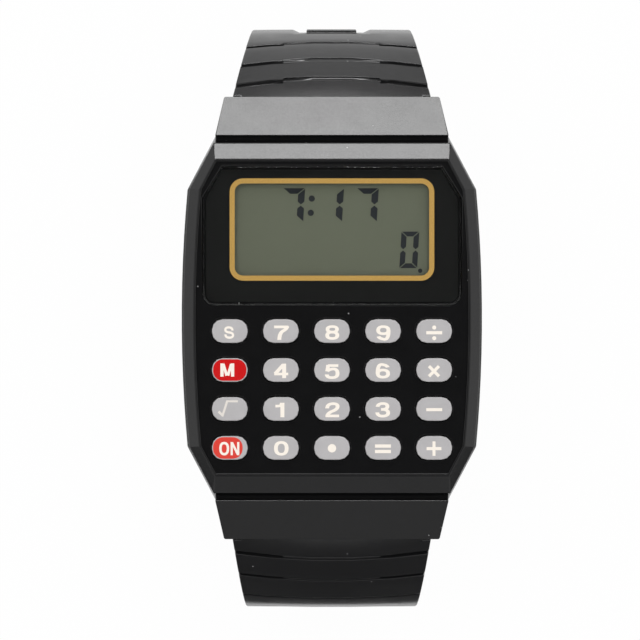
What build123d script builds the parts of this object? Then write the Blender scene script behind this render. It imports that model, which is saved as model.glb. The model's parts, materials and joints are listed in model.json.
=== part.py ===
"""Calculator wristwatch: resin case, twenty keys, display module, moulded straps and buckle.

Millimetres. +Z is the way the face looks, +Y points to 12 o'clock, +X to 3 o'clock.
The origin lies under the middle of the watch, on the surface that its straps stand on.
"""
from build123d import *
from math import asin, atan2, cos, degrees, radians, sin, sqrt
import os

# Strap curve in side view, from the middle of the watch outwards
strap_arc_r = 19.8            # outer surface, from the case to the side of the wrist
strap_arc_y = 16.4            # centre of that arc
strap_arc_drop = 22.5         # centre of that arc below the rim of the face
strap_side_run = 8.2          # straight run down the side of the wrist
side_y = strap_arc_y + strap_arc_r
foot_r = 11.8                 # outer surface where each strap turns under
foot_y = side_y - foot_r
face_z = strap_arc_drop + strap_side_run + foot_r

# Case, seen from above
case_side_half_w = 17.3       # where the curved side meets the cut corner
case_bulge = 0.7              # how much further out the curved side runs in its middle
case_half_w = case_side_half_w + case_bulge
case_corner_y = 15.4
case_end_y = 21.7
case_corner_in = 3.3          # how far the cut corner comes in at the end
case_end_half_w = case_side_half_w - case_corner_in

# Case, levels below the rim of the face
shoulder_drop = 1.1
belt_drop = 4.6
case_depth = 9.0
rim_side_in = 1.6
rim_end_in = 2.9
rim_diag_in = 1.5
shoulder_side_in = 0.35
shoulder_end_in = 0.9
base_side_in = 0.6
base_end_in = 0.2

# Face panel
rim_w = 0.25
face_drop = rim_w
panel_t = 1.75
panel_under_drop = face_drop + panel_t

# Hood over each strap end
hood_len = 4.8
hood_end_y = case_end_y + hood_len
hood_root_in = 0.1
hood_taper = 1.0
hood_root_half_w = case_end_half_w - hood_root_in
hood_end_half_w = hood_root_half_w - hood_taper
hood_root_drop = 1.6
hood_end_drop = 4.2
hood_roof_t = 0.8
hood_corner_r = 0.3
groove_drop = 2.6             # floor of the groove between the case and its hood
cheek_w = 1.7
pocket_half_w = hood_end_half_w - cheek_w
pocket_in = 0.3
pocket_y = case_end_y + pocket_in
cheek_r = 2.3                 # rounded lower end of each cheek, about the spring bar

# Spring bars
bar_y = hood_end_y - cheek_r
bar_drop = 6.3
bar_r = 0.75
bar_tip_r = 0.42
bar_tip_reach = 0.9
bar_running_gap = 0.08
tip_gap = 0.04

# Inside of the case
wall_t = 2.2
end_wall_t = 3.5
cavity_half_w = case_side_half_w - wall_t
cavity_end_y = case_end_y - end_wall_t
cavity_diag_in = 1.95
cover_side_in = 1.4
cover_end_in = 0.9
cover_half_w = case_side_half_w - cover_side_in
cover_end_y = case_end_y - cover_end_in
cover_diag_in = 1.3
cover_t = 0.6
cover_stand = 0.1             # how far the cover stands below the case's rim
cover_seat_drop = case_depth + cover_stand - cover_t
gasket_w = 0.5
gasket_t = 0.4
fit_gap = 0.05
slip_gap = 0.15

# Lens, its printed mask and the gold frame
lens_side_in = 1.95
lens_end_in = 0.8
lens_low_y = 1.5
lens_half_w = case_side_half_w - lens_side_in
lens_high_y = case_end_y - rim_end_in - lens_end_in
lens_cut_h = 3.8              # height of the cut top corner
lens_cut_w = 2.35
lens_cut_y = lens_high_y - lens_cut_h
lens_cut_half_w = lens_half_w - lens_cut_w
lens_corner_r = 1.4
lens_t = 1.0
lens_stand = 0.1
lens_chamfer = 0.15
mask_t = 0.25
mask_in = 0.4
frame_side_in = 3.2
frame_end_in = 2.175
frame_w = 2 * (lens_half_w - frame_side_in)
frame_h = lens_high_y - lens_low_y - 2 * frame_end_in
frame_ring = 0.6
frame_corner_r = 1.6
window_up = 0.75              # how far the window lies above the middle of the lens
window_y = (lens_low_y + lens_high_y) / 2 + window_up
window_lap = 0.3              # how far the case's window lies inside the gold frame's outer edge

# Display cell and its contact strips
lcd_side_lap = 0.85
lcd_end_lap = 0.925
lcd_w = frame_w + 2 * lcd_side_lap
lcd_h = frame_h + 2 * lcd_end_lap
lcd_plate_t = 0.7
lcd_step = 1.4                # the front plate is this much shorter, for the contacts
reflector_side_in = 0.5
reflector_end_in = 1.8
reflector_w = lcd_w - 2 * reflector_side_in
reflector_h = lcd_h - 2 * reflector_end_in
reflector_t = 0.25
zebra_side_in = 1.0
zebra_end_in = 0.2
zebra_t = 1.2
zebra_w = lcd_w - 2 * zebra_side_in
zebra_y = (lcd_h - zebra_t) / 2 - zebra_end_in

# Keypad
key_w = 4.22
key_h = 2.8
key_corner_r = 1.25
key_corner_chords = 3         # straight steps round each corner
key_side_room = 0.89
key_lens_room = 1.65
key_end_room = 1.42
key_rows = 4
key_columns = 5
key_first_y = lens_low_y - key_lens_room - key_h / 2
key_last_y = key_end_room + key_h / 2 - cavity_end_y
key_pitch_x = 2 * (cavity_half_w - key_side_room - key_w / 2) / (key_columns - 1)
key_pitch_y = (key_first_y - key_last_y) / (key_rows - 1)
key_stand = 0.6
key_gap = 0.12
key_lip = 0.35                # how far the retaining ears reach past the cap
key_ear_h = 1.4
key_flange_t = 0.5
key_post_w = 2.6
key_post_h = 1.5
key_free_gap = 0.6            # between a key's post and the mat
mat_t = 0.55
mat_side_lap = 0.29
mat_end_lap = 0.885

# Module: board, carrier and what the board carries
board_top_drop = 4.3
mat_top_drop = board_top_drop - mat_t
key_post_drop = mat_top_drop - key_free_gap
board_t = 0.8
board_in = 0.35
module_t = 2.9
module_in = 0.2
chip_x = 7.0
chip_y = 6.5
chip_r = 3.2
chip_top_r = 2.3
chip_t = 1.1
crystal_x = 8.5
crystal_y = -8.0
crystal_r = 1.0
crystal_len = 6.0
battery_x = -5.5
battery_y = -7.5
battery_r = 5.8
battery_t = 3.05
battery_cap_r = 4.9
battery_cap_t = 0.3
spring_leaf_w = 7.0
spring_leaf_h = 2.0
spring_leaf_t = 0.1
clip_w = 3.6
clip_t = 0.15
clip_foot = 2.0
pocket_gap = 0.25

# Strap section
strap_side_gap = 0.9          # how much narrower than the hood's end the strap is
strap_taper_12 = 2.2          # how much narrower on each side the short strap is at the side of the wrist
strap_taper_6 = 1.4           # the same for the long strap
strap_foot_taper = 3.0        # how much narrower either is where it turns under
strap_half_w = hood_end_half_w - strap_side_gap
strap_foot_half_w = strap_half_w - strap_foot_taper
strap_t = 2.8
strap_foot_t = 2.2
strap_crown = 1.2
crown_angle = 40.0            # the crown is full up to here and gone at the side of the wrist
crown_left = 0.05
crown_points = (-1.0, -0.62, -0.2, 0.2, 0.62, 1.0)     # shares of the half-width, across the crown
strap_steps = 8               # straight steps from the neck to the side of the wrist
knuckle_r = 1.9
knuckle_side_gap = 0.2
knuckle_half_w = pocket_half_w - knuckle_side_gap
shoulder_gap_r = 0.4
neck_angle = 23.0

# Grooves across each strap
groove_angles_12 = (38.0, 48.3, 60.2)
groove_angles_6 = (39.2, 50.9, 65.6)
groove_w = 0.5
groove_side_depth = 0.5
groove_mid_depth = 0.22
groove_jog_x = 5.9
groove_jog_12 = 0.25
groove_jog_6 = 0.0

# Sunken panel and bar on the short strap
panel_half_w = 4.95
panel_floor_half_w = 4.0
panel_depth = 0.45
panel_angle = 72.0
panel_bar_half_w = 3.1
panel_bar_angle = 79.0
panel_bar_w = 1.3

# Short strap: tail with keeper and buckle
tail_rise = 12.0
tail_len = 17.0
barrel_r = 1.6
barrel_reach = 0.8
pin_r = 0.65
pin_gap = 0.08
pin_fit = 0.02
keeper_at = 5.9
keeper_len = 4.0
keeper_wall = 1.2
keeper_side_gap = 0.3
keeper_low_gap = 0.2
keeper_free_gap = 0.7
keeper_room = strap_foot_t + keeper_free_gap
keeper_corner_r = 0.8

# Buckle
buckle_side_gap = 0.25
buckle_half_in = strap_foot_half_w + buckle_side_gap
buckle_arm_w = 1.8
buckle_heel = 1.4
buckle_len = 10.0
buckle_bar_w = 2.0
buckle_t = 1.8
buckle_rest_gap = 0.02
tongue_half_w = 1.1
tongue_hub_r = 1.3
tongue_t = 0.8
tongue_short = 0.3
tongue_len = buckle_len - tongue_short
tongue_tip_r = 0.7
notch_gap = 0.1
slot_side_gap = 0.25
slot_half_w = tongue_half_w + slot_side_gap
slot_len = 4.6

# Long strap: tail with holes
long_tail_rise = 42.0
long_tail_len = 33.0
tip_in = 2.5
tip_r = strap_foot_half_w - tip_in
hole_r = 1.1
hole_sides = 12
hole_pitch = 5.5
hole_first = hole_pitch
hole_count = 5

overrun = 1.0                 # how far cutters run past what they cut

# The cut corner as a line: nx * x + ny * y = reach
diag_run = sqrt((case_side_half_w - case_end_half_w) ** 2 + (case_end_y - case_corner_y) ** 2)
diag_nx = (case_end_y - case_corner_y) / diag_run
diag_ny = (case_side_half_w - case_end_half_w) / diag_run
diag_reach = diag_nx * case_side_half_w + diag_ny * case_corner_y

# Heights worked out from the sizes above
panel_under_z = face_z - panel_under_drop
seat_z = face_z - cover_seat_drop
base_z = face_z - case_depth
bar_z = face_z - bar_drop
board_z = face_z - board_top_drop - board_t
lens_top_z = face_z - face_drop + lens_stand
lens_low_z = lens_top_z - lens_t
mask_low_z = lens_low_z - mask_t
strap_arc_z = face_z - strap_arc_drop

key_names = (
    ("s", "7", "8", "9", "divide"),
    ("m", "4", "5", "6", "multiply"),
    ("root", "1", "2", "3", "minus"),
    ("on", "0", "point", "equals", "plus"),
)


def octagon(mid_x, side_x, end_y, diag_in, z):
    """Face at height z: long sides curved or straight, straight ends, cut corners."""
    reach = diag_reach - diag_in
    corner_y = (reach - side_x * diag_nx) / diag_ny
    corner_x = (reach - end_y * diag_ny) / diag_nx

    def side(sign):
        low = (sign * side_x, -sign * corner_y)
        high = (sign * side_x, sign * corner_y)
        if mid_x > side_x:
            return ThreePointArc(low, (sign * mid_x, 0), high)
        return Line(low, high)

    def end(sign):
        return Polyline(
            (sign * side_x, sign * corner_y),
            (sign * corner_x, sign * end_y),
            (-sign * corner_x, sign * end_y),
            (-sign * side_x, sign * corner_y),
        )

    edges = side(1) + end(1) + side(-1) + end(-1)
    return Pos(0, 0, z) * make_face(edges.edges())


def inset_octagon(side_in, end_in, diag_in, z):
    """The case's own outline, drawn in by these amounts."""
    return octagon(
        case_half_w - side_in, case_side_half_w - side_in, case_end_y - end_in, diag_in, z
    )


def cavity(grow, z):
    """Outline of the case's inside, grown by this much."""
    half_w = cavity_half_w + grow
    return octagon(half_w, half_w, cavity_end_y + grow, cavity_diag_in - grow, z)


def prism(face, depth):
    """Solid from a face downwards."""
    return extrude(face, amount=depth, dir=(0, 0, -1))


def plate(x, y, top_z, w, h, t):
    """Flat block with its top at top_z."""
    return Pos(x, y, top_z - t / 2) * Box(w, h, t)


def rod_x(y, z, r, half_len):
    """Round rod along X, centred on the middle of the watch."""
    return Pos(0, y, z) * Rot(0, 90, 0) * Cylinder(r, 2 * half_len)


def side_slab(points, half_w):
    """Side-view outline, drawn in y and z, given a width along X."""
    face = make_face(Polyline(*[(0, y, z) for y, z in points], close=True).edges())
    return extrude(face, amount=half_w, dir=(1, 0, 0), both=True)


def both_ends(shape):
    """A shape at the 12 o'clock end and its mirror at 6 o'clock."""
    return shape + mirror(shape, about=Plane.XZ)


def hood_top(y):
    """Height of the hood's sloping top."""
    slope = (hood_end_drop - hood_root_drop) / (hood_end_y - case_end_y)
    return face_z - hood_root_drop - (y - case_end_y) * slope


def hood():
    """Wedge that covers one strap end, with rounded cheeks round the spring bar."""
    inner_y = case_end_y - rim_end_in
    half_turn = radians(45)
    side = Polyline(
        (0, bar_y, bar_z - cheek_r),
        (0, case_end_y, base_z),
        (0, inner_y, base_z),
        (0, inner_y, face_z - groove_drop),
        (0, case_end_y, face_z - groove_drop),
        (0, case_end_y, face_z - hood_root_drop),
        (0, hood_end_y, face_z - hood_end_drop),
        (0, hood_end_y, bar_z),
    )
    cheek = ThreePointArc(
        (0, hood_end_y, bar_z),
        (0, bar_y + cheek_r * sin(half_turn), bar_z - cheek_r * cos(half_turn)),
        (0, bar_y, bar_z - cheek_r),
    )
    outline = make_face((side + cheek).edges())
    block = extrude(outline, amount=case_half_w, dir=(1, 0, 0), both=True)
    plan = Polyline(
        (hood_root_half_w, inner_y),
        (hood_root_half_w, case_end_y),
        (hood_end_half_w, hood_end_y),
        (-hood_end_half_w, hood_end_y),
        (-hood_root_half_w, case_end_y),
        (-hood_root_half_w, inner_y),
        close=True,
    )
    plan_face = make_face(plan.edges())
    plan_face = fillet(plan_face.vertices().sort_by(Axis.Y)[-2:], hood_corner_r)
    return block & prism(Pos(0, 0, face_z) * plan_face, case_depth + overrun)


def hood_pocket():
    """Room under a hood for the strap's knuckle, open below and at the outer end."""
    out_y = hood_end_y + overrun
    low_z = base_z - overrun
    return side_slab(
        (
            (pocket_y, low_z),
            (pocket_y, hood_top(pocket_y) - hood_roof_t),
            (out_y, hood_top(out_y) - hood_roof_t),
            (out_y, low_z),
        ),
        pocket_half_w,
    )


def lens_face(inset, z):
    """Lens outline: cut corners above, rounded corners below."""
    half_w = lens_half_w - inset
    low_y = lens_low_y + inset
    high_y = lens_high_y - inset
    outline = Polyline(
        (half_w, low_y),
        (half_w, lens_cut_y),
        (lens_cut_half_w, high_y),
        (-lens_cut_half_w, high_y),
        (-half_w, lens_cut_y),
        (-half_w, low_y),
        close=True,
    )
    face = make_face(outline.edges())
    face = fillet(face.vertices().sort_by(Axis.Y)[:2], lens_corner_r - inset)
    return Pos(0, 0, z) * face


def key_places():
    """Name and centre of every key."""
    for row, names in enumerate(key_names):
        for column, name in enumerate(names):
            middle = (key_columns - 1) / 2
            yield name, (column - middle) * key_pitch_x, key_first_y - row * key_pitch_y


def key_face(x, y, z, grow):
    """Outline of a key with its corners rounded in a few straight steps, grown by this much."""
    corner_x = key_w / 2 - key_corner_r
    corner_y = key_h / 2 - key_corner_r
    reach = key_corner_r + grow
    points = []
    for quarter, (sx, sy) in enumerate(((1, 1), (-1, 1), (-1, -1), (1, -1))):
        for step in range(key_corner_chords + 1):
            turn = radians(90 * (quarter + step / key_corner_chords))
            points.append((x + sx * corner_x + reach * cos(turn), y + sy * corner_y + reach * sin(turn)))
    return Pos(0, 0, z) * make_face(Polyline(*points, close=True).edges())


def case_front():
    """Resin case in one moulding: faceted body, face panel, two hoods."""
    body = loft(
        [
            inset_octagon(rim_side_in, rim_end_in, rim_diag_in, face_z),
            inset_octagon(shoulder_side_in, shoulder_end_in, shoulder_side_in, face_z - shoulder_drop),
            inset_octagon(0, 0, 0, face_z - belt_drop),
            inset_octagon(base_side_in, base_end_in, base_side_in, base_z),
        ],
        ruled=True,
    )
    body += both_ends(hood())
    body -= prism(
        inset_octagon(rim_side_in + rim_w, rim_end_in + rim_w, rim_diag_in + rim_w, face_z), face_drop
    )
    body -= prism(lens_face(-fit_gap, face_z), face_z - mask_low_z)
    body -= prism(
        Pos(0, window_y, mask_low_z)
        * RectangleRounded(
            frame_w - 2 * window_lap, frame_h - 2 * window_lap, frame_corner_r - window_lap
        ),
        case_depth,
    )
    body -= prism(cavity(0, panel_under_z), case_depth)
    body -= prism(cavity(gasket_w, seat_z + gasket_t), gasket_t)
    body -= prism(
        octagon(
            cover_half_w + fit_gap, cover_half_w + fit_gap, cover_end_y + fit_gap,
            cover_diag_in - fit_gap, seat_z,
        ),
        case_depth,
    )
    holes = [key_face(x, y, face_z - face_drop, key_gap) for _, x, y in key_places()]
    body -= [prism(face, panel_under_drop) for face in holes]
    body -= both_ends(hood_pocket())
    body -= both_ends(rod_x(bar_y, bar_z, bar_tip_r + tip_gap, pocket_half_w + bar_tip_reach + tip_gap))
    return body


def lens():
    body = prism(lens_face(0, lens_top_z), lens_t)
    return chamfer(body.faces().sort_by(Axis.Z)[-1].edges(), lens_chamfer)


def lens_mask():
    body = prism(lens_face(mask_in, lens_low_z), mask_t)
    opening = RectangleRounded(
        frame_w + 2 * fit_gap, frame_h + 2 * fit_gap, frame_corner_r + fit_gap
    )
    return body - prism(Pos(0, window_y, lens_low_z) * opening, mask_t)


def gold_frame():
    outer = RectangleRounded(frame_w, frame_h, frame_corner_r)
    inner = RectangleRounded(
        frame_w - 2 * frame_ring, frame_h - 2 * frame_ring, frame_corner_r - frame_ring
    )
    return prism(Pos(0, window_y, lens_low_z) * (outer - inner), mask_t)


def lcd_glass():
    front = plate(0, window_y, panel_under_z, lcd_w, lcd_h - 2 * lcd_step, lcd_plate_t)
    rear = plate(0, window_y, panel_under_z - lcd_plate_t, lcd_w, lcd_h, lcd_plate_t)
    return front + rear


def lcd_reflector():
    top = panel_under_z - 2 * lcd_plate_t
    return plate(0, window_y, top, reflector_w, reflector_h, reflector_t)


def zebra_strips():
    top = panel_under_z - 2 * lcd_plate_t
    height = top - (face_z - board_top_drop)
    return [plate(0, window_y + sign * zebra_y, top, zebra_w, zebra_t, height) for sign in (1, -1)]


def key(x, y):
    """One key: cap, the ears that keep it in the case and the post that presses the mat."""
    top_z = face_z - face_drop + key_stand
    ear_z = panel_under_z - fit_gap
    post_top = ear_z - key_flange_t
    cap = prism(key_face(x, y, top_z, 0), top_z - post_top)
    ears = plate(x, y, ear_z, key_w + 2 * key_lip, key_ear_h, key_flange_t)
    post = plate(x, y, post_top, key_post_w, key_post_h, post_top - (face_z - key_post_drop))
    return cap + ears + post


def keypad_mat():
    """Rubber contact sheet on the board, trimmed to the case's corners."""
    top = face_z - mat_top_drop
    mat_y = (key_first_y + key_last_y) / 2
    mat_w = (key_columns - 1) * key_pitch_x + key_w + 2 * mat_side_lap
    mat_h = key_first_y - key_last_y + key_h + 2 * mat_end_lap
    sheet = plate(0, mat_y, top, mat_w, mat_h, mat_t)
    return sheet & prism(cavity(-board_in, top + overrun), case_depth)


def circuit_board():
    return prism(cavity(-board_in, face_z - board_top_drop), board_t)


def chip_blob():
    """Sealing drop over the chip, its small end away from the board."""
    return Pos(chip_x, chip_y, board_z - chip_t / 2) * Cone(chip_top_r, chip_r, chip_t)


def crystal_can():
    return Pos(crystal_x, crystal_y, board_z - crystal_r) * Rot(90, 0, 0) * Cylinder(crystal_r, crystal_len)


def battery():
    """Button cell, its smaller cap towards the board."""
    cap_z = board_z - spring_leaf_t
    cap = Pos(battery_x, battery_y, cap_z - battery_cap_t / 2) * Cylinder(battery_cap_r, battery_cap_t)
    can_t = battery_t - battery_cap_t
    can_z = cap_z - battery_cap_t - can_t / 2
    return cap + Pos(battery_x, battery_y, can_z) * Cylinder(battery_r, can_t)


def battery_spring():
    return plate(battery_x, battery_y, board_z, spring_leaf_w, spring_leaf_h, spring_leaf_t)


def battery_clip():
    """Steel bridge under the cell, its feet on the carrier."""
    top = board_z - spring_leaf_t - battery_t
    reach = battery_r + pocket_gap
    bridge = plate(battery_x, battery_y, top, 2 * (reach + clip_foot), clip_w, clip_t)
    foot_t = board_z - module_t - (top - clip_t)
    feet = [
        plate(
            battery_x + sign * (reach + clip_foot / 2), battery_y, board_z - module_t,
            clip_foot, clip_w, foot_t,
        )
        for sign in (1, -1)
    ]
    return bridge + feet


def module_frame():
    """Carrier under the board, with room for the cell, the chip and the crystal."""
    body = prism(cavity(-module_in, board_z), module_t)
    body -= Pos(battery_x, battery_y, board_z) * Cylinder(battery_r + pocket_gap, 2 * case_depth)
    body -= Pos(chip_x, chip_y, board_z) * Cylinder(chip_r + pocket_gap, 2 * (chip_t + pocket_gap))
    room = 2 * pocket_gap
    body -= plate(
        crystal_x, crystal_y, board_z, 2 * crystal_r + room, crystal_len + room, 2 * crystal_r + pocket_gap
    )
    return body


def back_cover():
    return prism(octagon(cover_half_w, cover_half_w, cover_end_y, cover_diag_in, seat_z), cover_t)


def back_gasket():
    ring = prism(cavity(gasket_w - fit_gap, seat_z + gasket_t), gasket_t)
    return ring - prism(cavity(0, seat_z + gasket_t), gasket_t)


def spring_bar():
    body = rod_x(bar_y, bar_z, bar_r, pocket_half_w - slip_gap)
    return body + rod_x(bar_y, bar_z, bar_tip_r, pocket_half_w + bar_tip_reach)


def crown_at(angle):
    """Crown of the strap where it has turned by this angle."""
    share = max(0, angle - crown_angle) / (90 - crown_angle)
    return strap_crown + share * (crown_left - strap_crown)


def crown_drop(x, crown):
    """How far a crowned outer surface lies below its middle at this x."""
    return crown * (x / strap_half_w) ** 2


def outward(angle):
    """Unit vector that points out of the strap where it has turned by this angle."""
    return Vector(0, sin(radians(angle)), cos(radians(angle)))


def along(angle):
    """Unit vector along the strap, away from the case."""
    return Vector(0, cos(radians(angle)), -sin(radians(angle)))


def section_plane(point, angle):
    """Plane across the strap: x is across, y points out of the strap."""
    return Plane(origin=point, x_dir=(1, 0, 0), z_dir=along(angle) * -1)


def crowned_section(half_w, inner_half_w, t, crown):
    """Cross-section of the strap, its outer side crowned in a few straight steps."""
    outer = [(share * half_w, -crown_drop(share * half_w, crown)) for share in crown_points]
    return make_face(Polyline(*outer, (inner_half_w, -t), (-inner_half_w, -t), close=True).edges())


def flat_section(half_w, t):
    return Pos(0, -t / 2) * Rectangle(2 * half_w, t)


def bend(section, centre, r, start, turn):
    """Sweep a section round an arc of the strap, from an angle onwards."""
    placed = section_plane(centre + outward(start) * r, start) * section
    return revolve(placed, Axis(centre, (-1, 0, 0)), revolution_arc=turn)


def run(section, point, angle, length):
    """Sweep a section along a straight stretch of the strap."""
    return extrude(section_plane(point, angle) * section, amount=length, dir=along(angle))


def groove_face(low_x, high_x, depth, crown):
    """Section of a groove cutter that follows the crown at this depth."""
    inner = [share * strap_half_w for share in crown_points if low_x < share * strap_half_w < high_x]
    floor = [(x, -crown_drop(x, crown) - depth) for x in (low_x, *inner, high_x)]
    return make_face(Polyline(*floor, (high_x, strap_t), (low_x, strap_t), close=True).edges())


def strap_upper(side_half_w, groove_angles, jog):
    """From the knuckle on the spring bar round to the side of the wrist."""
    centre = Vector(0, strap_arc_y, strap_arc_z)
    sections = []
    for step in range(strap_steps + 1):
        angle = neck_angle + step / strap_steps * (90 - neck_angle)
        thinned = max(0, angle - crown_angle) / (90 - crown_angle)
        t = strap_t + thinned * (strap_foot_t - strap_t)
        section = crowned_section(strap_half_w, strap_half_w, t, crown_at(angle))
        sections.append(section_plane(centre + outward(angle) * strap_arc_r, angle) * section)
    body = loft(sections, ruled=True)
    taper = Polyline(
        (strap_half_w, 0), (strap_half_w, hood_end_y), (side_half_w, side_y),
        (side_half_w, side_y + overrun), (-side_half_w, side_y + overrun),
        (-side_half_w, side_y), (-strap_half_w, hood_end_y), (-strap_half_w, 0), close=True,
    )
    body &= prism(Pos(0, 0, face_z) * make_face(taper.edges()), face_z)
    reach = cheek_r + shoulder_gap_r
    side_w = strap_half_w - knuckle_half_w + overrun
    for sign in (1, -1):
        x = sign * (knuckle_half_w + side_w / 2)
        body -= Pos(x, bar_y, bar_z) * Rot(0, 90, 0) * Cylinder(reach, side_w)
    for angle in groove_angles:
        body -= groove_cutters(centre, angle, jog)
    body += rod_x(bar_y, bar_z, knuckle_r, knuckle_half_w)
    return body - rod_x(bar_y, bar_z, bar_r + bar_running_gap, strap_half_w)


def groove_cutters(centre, angle, jog):
    """One groove: straight at the sides, shallower in the middle and shifted outwards there."""
    turn = degrees(groove_w / strap_arc_r)
    shift = degrees(jog / strap_arc_r)
    out_x = strap_half_w + overrun / 2
    crown = crown_at(angle)
    sides = [
        bend(groove_face(low_x, high_x, groove_side_depth, crown), centre, strap_arc_r, angle, turn)
        for low_x, high_x in ((-out_x, -groove_jog_x), (groove_jog_x, out_x))
    ]
    middle = groove_face(-groove_jog_x, groove_jog_x, groove_mid_depth, crown)
    return sides + [bend(middle, centre, strap_arc_r, angle + shift, turn)]


def strap_side(side_half_w):
    """Straight run down the side of the wrist, its inner face as wide as the curve above leaves it."""
    top = section_plane(Vector(0, side_y, strap_arc_z), 90)
    low = section_plane(Vector(0, side_y, foot_r), 90)
    inner_half_w = side_half_w + (strap_half_w - side_half_w) * strap_foot_t / (side_y - hood_end_y)
    return loft(
        [
            top * crowned_section(side_half_w, inner_half_w, strap_foot_t, crown_left),
            low * crowned_section(strap_foot_half_w, strap_foot_half_w, strap_foot_t, crown_left),
        ],
        ruled=True,
    )


def sunken_panel():
    """Cutter for the panel down the middle of the short strap, round a raised bar."""
    centre = Vector(0, strap_arc_y, strap_arc_z)
    slope = (panel_half_w - panel_floor_half_w) / panel_depth
    high_half_w = panel_half_w + slope * strap_t
    outline = Polyline(
        (-panel_floor_half_w, -panel_depth), (panel_floor_half_w, -panel_depth),
        (high_half_w, strap_t), (-high_half_w, strap_t), close=True,
    )
    face = make_face(outline.edges())
    cutter = bend(face, centre, strap_arc_r, panel_angle, 90 - panel_angle)
    cutter += run(face, centre + outward(90) * strap_arc_r, 90, strap_side_run / 2)
    bar_turn = degrees(panel_bar_w / strap_arc_r)
    bar_face = Rectangle(2 * panel_bar_half_w, 2 * strap_t)
    return cutter - bend(bar_face, centre, strap_arc_r, panel_bar_angle, bar_turn)


foot_centre = Vector(0, foot_y, foot_r)
tail_angle = 180 + tail_rise
tail_start = foot_centre + outward(tail_angle) * foot_r
barrel_centre = (
    tail_start
    + along(tail_angle) * (tail_len + barrel_reach)
    + outward(tail_angle) * (-strap_foot_t / 2)
)


def strap_12():
    """Short strap: ends in a barrel for the buckle's pin, slotted for its tongue."""
    flat = flat_section(strap_foot_half_w, strap_foot_t)
    side_half_w = strap_half_w - strap_taper_12
    body = strap_upper(side_half_w, groove_angles_12, groove_jog_12) + strap_side(side_half_w)
    body -= sunken_panel()
    body += bend(flat, foot_centre, foot_r, 90, 90 + tail_rise)
    body += run(flat, tail_start, tail_angle, tail_len)
    body += rod_x(barrel_centre.Y, barrel_centre.Z, barrel_r, strap_foot_half_w)
    body -= rod_x(barrel_centre.Y, barrel_centre.Z, pin_r + pin_gap, strap_half_w)
    slot_from = tail_start + along(tail_angle) * (tail_len - slot_len)
    slot = Pos(0, -strap_foot_t / 2) * Rectangle(2 * slot_half_w, 2 * strap_t + strap_foot_t)
    return body - run(slot, slot_from, tail_angle, slot_len + barrel_reach + 2 * barrel_r)


def strap_6():
    """Long strap, built on the 12 o'clock side and mirrored: its tail has the holes."""
    flat = flat_section(strap_foot_half_w, strap_foot_t)
    angle = 180 + long_tail_rise
    start = foot_centre + outward(angle) * foot_r
    side_half_w = strap_half_w - strap_taper_6
    body = strap_upper(side_half_w, groove_angles_6, groove_jog_6) + strap_side(side_half_w)
    body += bend(flat, foot_centre, foot_r, 90, 90 + long_tail_rise)
    tail = run(flat, start, angle, long_tail_len)
    end = start + along(angle) * long_tail_len
    corner = tip_r * (1 - cos(radians(45)))
    for sign in (1, -1):
        x = sign * strap_foot_half_w
        outline = Polyline((x, -tip_r), (x, 0), (x - sign * tip_r, 0)) + ThreePointArc(
            (x - sign * tip_r, 0), (x - sign * corner, -corner), (x, -tip_r)
        )
        flat_plane = Plane(origin=end, x_dir=(1, 0, 0), z_dir=outward(angle))
        tail -= extrude(flat_plane * make_face(outline.edges()), amount=2 * strap_foot_t, both=True)
    hole = extrude(RegularPolygon(hole_r, hole_sides), amount=2 * strap_foot_t, both=True)
    for count in range(hole_count):
        place = end - along(angle) * (hole_first + count * hole_pitch)
        tail -= Plane(origin=place, x_dir=(1, 0, 0), z_dir=outward(angle)) * hole
    return mirror(body + tail, about=Plane.XZ)


def keeper():
    """Loop that holds the long strap's tip against the short strap."""
    low = keeper_low_gap
    high = -(strap_foot_t + keeper_room)
    half_w = strap_foot_half_w + keeper_side_gap
    middle = (low + high) / 2
    inner = Pos(0, middle) * Rectangle(2 * half_w, low - high)
    outer = Pos(0, middle) * RectangleRounded(
        2 * (half_w + keeper_wall), low - high + 2 * keeper_wall, keeper_corner_r
    )
    return run(outer - inner, tail_start + along(tail_angle) * keeper_at, tail_angle, keeper_len)


def buckle_plane():
    """The buckle's own frame: y from its pin to its far bar, z towards the outer side."""
    reach = sqrt(buckle_len ** 2 + (buckle_t / 2) ** 2)
    droop = asin((barrel_centre.Z - buckle_rest_gap) / reach) - atan2(buckle_t / 2, buckle_len)
    return Plane(origin=barrel_centre, x_dir=(1, 0, 0), z_dir=(0, sin(droop), -cos(droop)))


def buckle_frame():
    """Open frame: two arms on the pin and a far bar with a notch for the tongue."""
    half_w = buckle_half_in + buckle_arm_w
    outer = Pos(0, (buckle_len - buckle_heel) / 2) * RectangleRounded(
        2 * half_w, buckle_len + buckle_heel, buckle_heel - fit_gap
    )
    open_len = buckle_len - buckle_bar_w
    inner = Pos(0, open_len - buckle_len) * Rectangle(2 * buckle_half_in, 2 * buckle_len)
    body = extrude(outer - inner, amount=buckle_t / 2, both=True)
    notch_z = -notch_gap
    body -= Pos(0, buckle_len - buckle_bar_w / 2, notch_z + buckle_t / 2) * Box(
        2 * (tongue_half_w + slip_gap), 2 * buckle_bar_w, buckle_t
    )
    body -= rod_x(0, 0, pin_r + pin_fit, 2 * half_w)
    return buckle_plane() * body


def buckle_tongue():
    """Flat tongue that turns on the pin and seats in the far bar's notch."""
    blade_len = tongue_len - tongue_tip_r
    blade = Pos(0, blade_len / 2) * Rectangle(2 * tongue_half_w, blade_len)
    tip = Pos(0, blade_len) * Rectangle(2 * (tongue_half_w - tongue_tip_r), 2 * tongue_tip_r)
    for sign in (1, -1):
        tip += Pos(sign * (tongue_half_w - tongue_tip_r), blade_len) * Circle(tongue_tip_r)
    body = extrude(blade + tip, amount=tongue_t)
    body += rod_x(0, 0, tongue_hub_r, tongue_half_w)
    body -= rod_x(0, 0, pin_r + pin_gap, 2 * tongue_half_w)
    return buckle_plane() * body


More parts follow.
